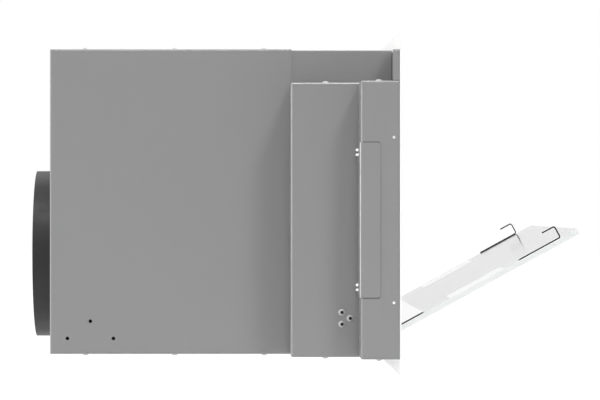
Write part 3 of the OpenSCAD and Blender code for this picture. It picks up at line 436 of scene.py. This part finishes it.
def door_axes(nt):
    """Where a point of the pane lies with the door closed, though the frame has it open.

    u is ahead of the hinge axis, v above it, and the third is |y|.
    """
    off = node(nt, "ShaderNodeVectorMath", operation="SUBTRACT")
    feed(nt, off.inputs[0], coords(nt))
    off.inputs[1].default_value = PIVOT
    ahead = (math.cos(TRAVEL), 0, -math.sin(TRAVEL))
    up = (math.sin(TRAVEL), 0, math.cos(TRAVEL))
    out = []
    for axis in (ahead, up, (0, 1, 0)):
        d = node(nt, "ShaderNodeVectorMath", operation="DOT_PRODUCT")
        feed(nt, d.inputs[0], off.outputs[0])
        d.inputs[1].default_value = axis
        out.append(d.outputs["Value"])
    return out[0], out[1], absolute(nt, out[2])


def rounded_box(nt, p, q, mid, half, r):
    """Distance from the corner circles of a rounded rectangle: below r inside it."""
    out = []
    for value, m, h in zip((p, q), mid, half):
        d = minus(nt, absolute(nt, minus(nt, value, m)), h - r)
        out.append(math_node(nt, "MAXIMUM", d, 0.0))
    return length(nt, *out)


def glass(name):
    """Clear toughened glass with ground edges and, on its inner face, a pale printed screen.

    The screen leaves two rounded fields bare.
    """
    m, nt, b = new_material(name)
    u, v, y = door_axes(nt)
    field = rounded_box(nt, v, y, (BARE_V, GLASS_HALF), BARE_HALF, BARE_CORNER)
    inner = below(nt, u, GLASS_U + 0.0005, 0.0001)
    printed = times(nt, inner, above(nt, field, BARE_CORNER))
    veil = times(nt, printed, spread(nt, noise(nt, 1800, 1), *VEIL))
    half = ((GLASS_V[1] - GLASS_V[0]) / 2, GLASS_HALF)
    edge = rounded_box(nt, v, y, (sum(GLASS_V) / 2, 0.0), half, GLASS_CORNER)
    ground = above(nt, edge, GLASS_CORNER - 0.0003, 0.0001)
    clear = mix_color(nt, spread(nt, noise(nt, 9, 2), 0, 1), (0.985, 0.997, 0.993), (0.99, 0.998, 0.995))
    body = mix_color(nt, veil, clear, VEIL_GREY)
    feed(nt, b.inputs["Base Color"], mix_color(nt, ground, body, GROUND_GREY))
    cloudy = math_node(nt, "MAXIMUM", veil, times(nt, ground, GROUND_COVER))
    feed(nt, b.inputs["Transmission Weight"], minus(nt, 1.0, cloudy))
    gloss = plus(nt, CLEAR_ROUGH, times(nt, printed, PRINT_ROUGH))
    feed(nt, b.inputs["Roughness"], plus(nt, gloss, times(nt, ground, GROUND_ROUGH)))
    b.inputs["IOR"].default_value = 1.5
    return m


def screen(name):
    m, nt, b = new_material(name)
    feed(nt, b.inputs["Base Color"],
         ramp(nt, noise(nt, 30, 2), [(0.3, (0.006, 0.007, 0.009)), (0.7, (0.012, 0.013, 0.016))]))
    feed(nt, b.inputs["Roughness"], spread(nt, noise(nt, 60, 2), 0.06, 0.1))
    b.inputs["Coat Weight"].default_value = 0.8
    b.inputs["Coat Roughness"].default_value = 0.03
    return m


def glow(name, color, strength):
    m, nt, b = new_material(name)
    for socket, scale, dark in (("Base Color", 400, 0.8), ("Emission Color", 300, 0.9)):
        feed(nt, b.inputs[socket],
             ramp(nt, noise(nt, scale, 1), [(0.3, shade(color, dark)), (0.7, color)]))
    b.inputs["Emission Strength"].default_value = strength
    b.inputs["Roughness"].default_value = 0.4
    return m


# Middles of the screw heads: of the hinge blocks in X and Z, of the covers and boxes in X and |Y|
HINGE_SCREWS = [(PIVOT.x + x, PIVOT.z + z)
                for x, z in ((0.0068, 0.0), (-0.0023, 0.0064), (-0.0023, -0.0064))]
COVER_SCREWS = [(x, 0.244) for x in (-0.344, -0.244, -0.144)]
BOX_SCREWS = [(-0.078, 0.3125), (-0.022, 0.362)]
PINS = [(0.183, -0.123), (0.190, -0.117), (0.197, -0.123)]  # the inlet's blades in Y and Z
PIN_HALF = (0.0011, 0.0031)


def highlight_paint(look, width, tone, piece=None, **kind):
    """Casing paint with a painted highlight along its bends, placed by the right-hand piece; its twin
    has the same look.
    """
    low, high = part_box(f"{look}_right")
    return paint_bend_highlights(piece or casing_paint(look), low, high, width, (tone, tone, tone), **kind)


cover_low, cover_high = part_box("slot_cover_right")
cover_corners = [(corner[0], corner[2]) for corner in (cover_low, cover_high)]
# The end box's paint, with its painted shade line about the slot cover
shaded_end_box = coated_with_shade_line("end_box", *cover_corners, 0.003)
looks = {
    "paint": casing_paint("paint"),
    # The slot cover, side covers and boxes carry a painted highlight along their bends
    "slot_cover": paint_bend_highlights(casing_paint("slot_cover"), cover_low, cover_high, 0.0007,
                            (0.72, 0.72, 0.71), 0.0025, top=False),
    "side_cover": highlight_paint("side_cover", 0.0013, 0.42, top=False),
    "drive_box": highlight_paint("drive_box", 0.0018, 0.33),
    "end_box": highlight_paint("end_box", 0.0018, 0.30, shaded_end_box),
    "panel_white": coated("panel_white", (0.93, 0.93, 0.92), 0.34, 0.01, 0.04),
    "polished": polished("polished", (0.93, 0.93, 0.925)),
    "stainless": brushed("stainless", (0.62, 0.62, 0.61), "Y", 0.26),
    "stainless_x": brushed("stainless_x", (0.60, 0.60, 0.59), "X", 0.3),
    "zinc": zinc_plate("zinc", (0.40, 0.41, 0.43), 0.55),
    "screw_steel": turned("screw_steel", (0.62, 0.62, 0.61)),
    "bright_rivet": turned("bright_rivet", (0.92, 0.92, 0.91), 0.3),
    "inlet": contacts("inlet", PINS, PIN_HALF),
    "hinge_screw": socketed("hinge_screw", (0.50, 0.50, 0.495), (0, 2), HINGE_SCREWS),
    "cover_screw": socketed("cover_screw", (0.55, 0.55, 0.545), (0, 1), COVER_SCREWS),
    "box_screw": socketed("box_screw", (0.55, 0.55, 0.545), (0, 1), BOX_SCREWS),
    "collar_black": coated("collar_black", (0.010, 0.010, 0.010), 0.54, 0.2, 0.03, 900),
    "safety_glass": glass("safety_glass"),
    "brass": turned("brass", (0.60, 0.42, 0.15)),
    "wool": wool_board("wool"),
    "gasket": silicone("gasket", (0.36, 0.045, 0.02)),
    "heater_tube": quartz("heater_tube"),
    "black_plastic": coated("black_plastic", BLACK, 0.42, 0.15, 0.12, 900),
    "fan_black": coated("fan_black", (0.016, 0.016, 0.017), 0.46, 0.15, 0.1, 800),
    "display_black": screen("display_black"),
    "board_green": board("board_green"),
    "start_green": coated("start_green", (0.012, 0.22, 0.045), 0.25, 0.05, 0.02, gloss_vary=0.02),
    "stop_red": coated("stop_red", (0.42, 0.012, 0.01), 0.25, 0.05, 0.02, gloss_vary=0.02),
}
# Nodes whose finish is told apart from the rest of their slot
SPECIAL = {
    "tray_rails": "stainless_x", "chamber_liner": "stainless_x", "thermocouple": "stainless_x",
    "slot_cover_left": "slot_cover", "slot_cover_right": "slot_cover",
    "side_cover_left": "side_cover", "side_cover_right": "side_cover",
    "drive_box_left": "drive_box", "drive_box_right": "drive_box",
    "end_box_left": "end_box", "end_box_right": "end_box",
    "door_lower_plate": "polished", "door_upper_clips": "polished",
    "slot_cover_screws": "bright_rivet", "frame_screws": "bright_rivet",
    "hinge_screws": "hinge_screw", "cover_screws": "cover_screw", "box_screws": "box_screw",
    "mains_inlet": "inlet",
}
for sub in frame["record"]["subparts"]:
    name = sub["node"]
    mats = frame["nodes"][name].data.materials
    for i in range(len(mats)):
        mats[i] = looks[SPECIAL.get(name, sub["material_slot"])]


# ---------------------------------------------------------------- small pieces on the controls

def printed_piece(name, loops, on, body, look, proud=0.0002):
    """Thin raised piece on the front face of the node `on`; its outlines are lists of (y, z)."""
    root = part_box(on)[1][0] - proud / 3
    bm = bmesh.new()
    for loop in loops:
        under, top = ([bm.verts.new((x, y, z)) for y, z in loop] for x in (root, root + proud))
        bm.faces.new(under)
        bm.faces.new(top)
        for i in range(len(loop)):
            bm.faces.new((under[i - 1], under[i], top[i], top[i - 1]))
    bmesh.ops.recalc_face_normals(bm, faces=bm.faces)
    piece = object_of(name, bm)
    piece.data.materials.append(looks[look])
    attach(piece, body)


def object_of(name, bm):
    mesh = bpy.data.meshes.new(name)
    bm.to_mesh(mesh)
    bm.free()
    obj = bpy.data.objects.new(name, mesh)
    bpy.context.scene.collection.objects.link(obj)
    return obj


def ribbon(points, width):
    """Quads along a line of (y, z) points."""
    sides = []
    for i, p in enumerate(points):
        a, b = Vector(points[max(i - 1, 0)]), Vector(points[min(i + 1, len(points) - 1)])
        across = (b - a).normalized().orthogonal() * width / 2
        sides.append((Vector(p) + across, Vector(p) - across))
    return [[a0, a1, b1, b0] for (a0, a1), (b0, b1) in zip(sides, sides[1:])]


def middle(name):
    low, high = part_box(name)
    return (Vector(low) + Vector(high)) / 2


def box_loop(y0, y1, z0, z1):
    return [(y0, z0), (y1, z0), (y1, z1), (y0, z1)]


looks["trace"] = glow("trace", (0.95, 0.55, 0.12), 0.9)
looks["grid"] = glow("grid", (0.05, 0.16, 0.22), 0.25)
looks["bar"] = glow("bar", (0.10, 0.42, 0.50), 0.5)
looks["mark"] = coated("mark", (0.74, 0.74, 0.73), 0.4, 0.03)

# Temperature curve on the display: preheat, soak, peak and cooling, each eased into the next
STEPS = [(0.0, 0.06), (0.22, 0.46), (0.50, 0.56), (0.66, 0.92), (0.72, 0.90), (1.0, 0.16)]


def temperature(t):
    for (t0, h0), (t1, h1) in zip(STEPS, STEPS[1:]):
        if t <= t1:
            k = (t - t0) / (t1 - t0)
            return h0 + (h1 - h0) * (0.5 * k + 0.5 * k * k * (3 - 2 * k))
    return STEPS[-1][1]


mid = middle("display")
HALF_Y, HALF_Z = 0.025, 0.018     # the part of the display that shows something
PLOT_LOW = -0.008                 # lower edge of the plot from the display's middle
BAR, BAR_PITCH, BAR_HIGH = 0.015, 0.0175, 0.0055


def plot(t, h):
    """Point of the plot; t and h go from 0 to 1."""
    return (mid.y - HALF_Y + 2 * HALF_Y * t, mid.z + PLOT_LOW + (HALF_Z - PLOT_LOW) * h)


curve = ribbon([plot(i / 48, temperature(i / 48)) for i in range(49)], 0.0008)
printed_piece("display_curve", curve, "display", "casing", "trace")
grid = []
for i in range(6):
    grid += ribbon([plot(i / 5, 0), plot(i / 5, 1)], 0.00025)
for i in range(5):
    grid += ribbon([plot(0, i / 4), plot(1, i / 4)], 0.00025)
printed_piece("display_grid", grid, "display", "casing", "grid", 0.0001)
bars = []
for k in range(3):
    left, bottom = mid.y - HALF_Y + k * BAR_PITCH, mid.z - HALF_Z
    bars.append(box_loop(left, left + BAR, bottom, bottom + BAR_HIGH))
printed_piece("display_bars", bars, "display", "casing", "bar")

knob, start, stop = (middle(name) for name in ("menu_knob", "start_button", "stop_button"))
pointer = box_loop(knob.y - 0.0007, knob.y + 0.0007, knob.z + 0.006, knob.z + 0.0145)
printed_piece("knob_pointer", [pointer], "menu_knob", "knob", "mark")
triangle = [(start.y - 0.0026, start.z + 0.0036), (start.y - 0.0026, start.z - 0.0036),
            (start.y + 0.0038, start.z)]
printed_piece("start_mark", [triangle], "start_button", "start_button", "mark")
square = box_loop(stop.y - 0.003, stop.y + 0.003, stop.z - 0.003, stop.z + 0.003)
printed_piece("stop_mark", [square], "stop_button", "stop_button", "mark")


# ---------------------------------------------------------------- floor, light, camera

bm = bmesh.new()
bmesh.ops.create_grid(bm, x_segments=1, y_segments=1, size=FLOOR_REACH)
floor = object_of("floor", bm)
floor.location = (0, 0, FLOOR_Z)


def seen(nt):
    """1 for what the camera sees directly, in metal or through glass."""
    lp = node(nt, "ShaderNodeLightPath")
    a = math_node(nt, "MAXIMUM", lp.outputs["Is Camera Ray"], lp.outputs["Is Glossy Ray"])
    return math_node(nt, "MAXIMUM", a, lp.outputs["Is Transmission Ray"])


def reflected(nt):
    """1 for what is seen in a reflection, but not through glass."""
    lp = node(nt, "ShaderNodeLightPath")
    return times(nt, lp.outputs["Is Glossy Ray"], minus(nt, 1.0, lp.outputs["Is Transmission Ray"]))


m, nt, b = new_material("floor_pale")
feed(nt, b.inputs["Base Color"],
     ramp(nt, noise(nt, 3, 2), [(0.3, (0.86, 0.86, 0.86)), (0.7, (0.88, 0.88, 0.88))]))
b.inputs["Roughness"].default_value = 0.9
b.inputs["Specular IOR Level"].default_value = 0.0
white = node(nt, "ShaderNodeEmission")
feed(nt, white.inputs["Strength"], spread(nt, reflected(nt), SEEN_WHITE, MIRRORED_WHITE, 0.0, 1.0))
mixer = node(nt, "ShaderNodeMixShader")
feed(nt, mixer.inputs[0], times(nt, seen(nt), FLOOR_GLOW))
nt.links.new(b.outputs[0], mixer.inputs[1])
nt.links.new(white.outputs[0], mixer.inputs[2])
nt.links.new(mixer.outputs[0], nt.nodes["Material Output"].inputs["Surface"])
floor.data.materials.append(m)

world = bpy.data.worlds.new("studio")
bpy.context.scene.world = world
world.use_nodes = True
nt = world.node_tree
# In reflections the studio is darkest behind the camera (-Y), brightest above and beside it, and
# plain beyond the object
way = node(nt, "ShaderNodeSeparateXYZ")
feed(nt, way.inputs[0], node(nt, "ShaderNodeTexCoord").outputs["Generated"])
near = spread(nt, way.outputs[1], -0.55, 0.4, -0.95, -0.5)
far = spread(nt, way.outputs[1], 0.0, 0.42, -0.1, 0.5)
change = times(nt, minus(nt, near, far), reflected(nt))
level = spread(nt, seen(nt), AMBIENT, 1.0, 0.0, 1.0)
background = nt.nodes["Background"]
feed(nt, background.inputs["Strength"], times(nt, level, plus(nt, 1.0, change)))
background.inputs["Color"].default_value = (1, 1, 1, 1)

for name, (energy, width, towards) in SUNS.items():
    lamp = bpy.data.lights.new(name, "SUN")
    lamp.energy = energy
    lamp.angle = math.radians(width)
    obj = bpy.data.objects.new(name, lamp)
    obj.rotation_euler = Vector(towards).to_track_quat("Z", "Y").to_euler()
    bpy.context.scene.collection.objects.link(obj)

cam = bpy.data.cameras.new("camera")
cam.sensor_width = SENSOR
cam.lens = FOCAL / PICTURE[0] * SENSOR
cam.shift_x = (PICTURE[0] / 2 - CENTRE[0]) / PICTURE[0]
cam.shift_y = (CENTRE[1] - PICTURE[1] / 2) / PICTURE[0]
cam.clip_end = 60
camera = bpy.data.objects.new("camera", cam)
camera.location = CAMERA_AT
camera.rotation_euler = (math.radians(90), 0, 0)
bpy.context.scene.collection.objects.link(camera)
bpy.context.scene.camera = camera
bpy.context.scene.view_settings.view_transform = "Standard"

bpy.context.view_layer.update()
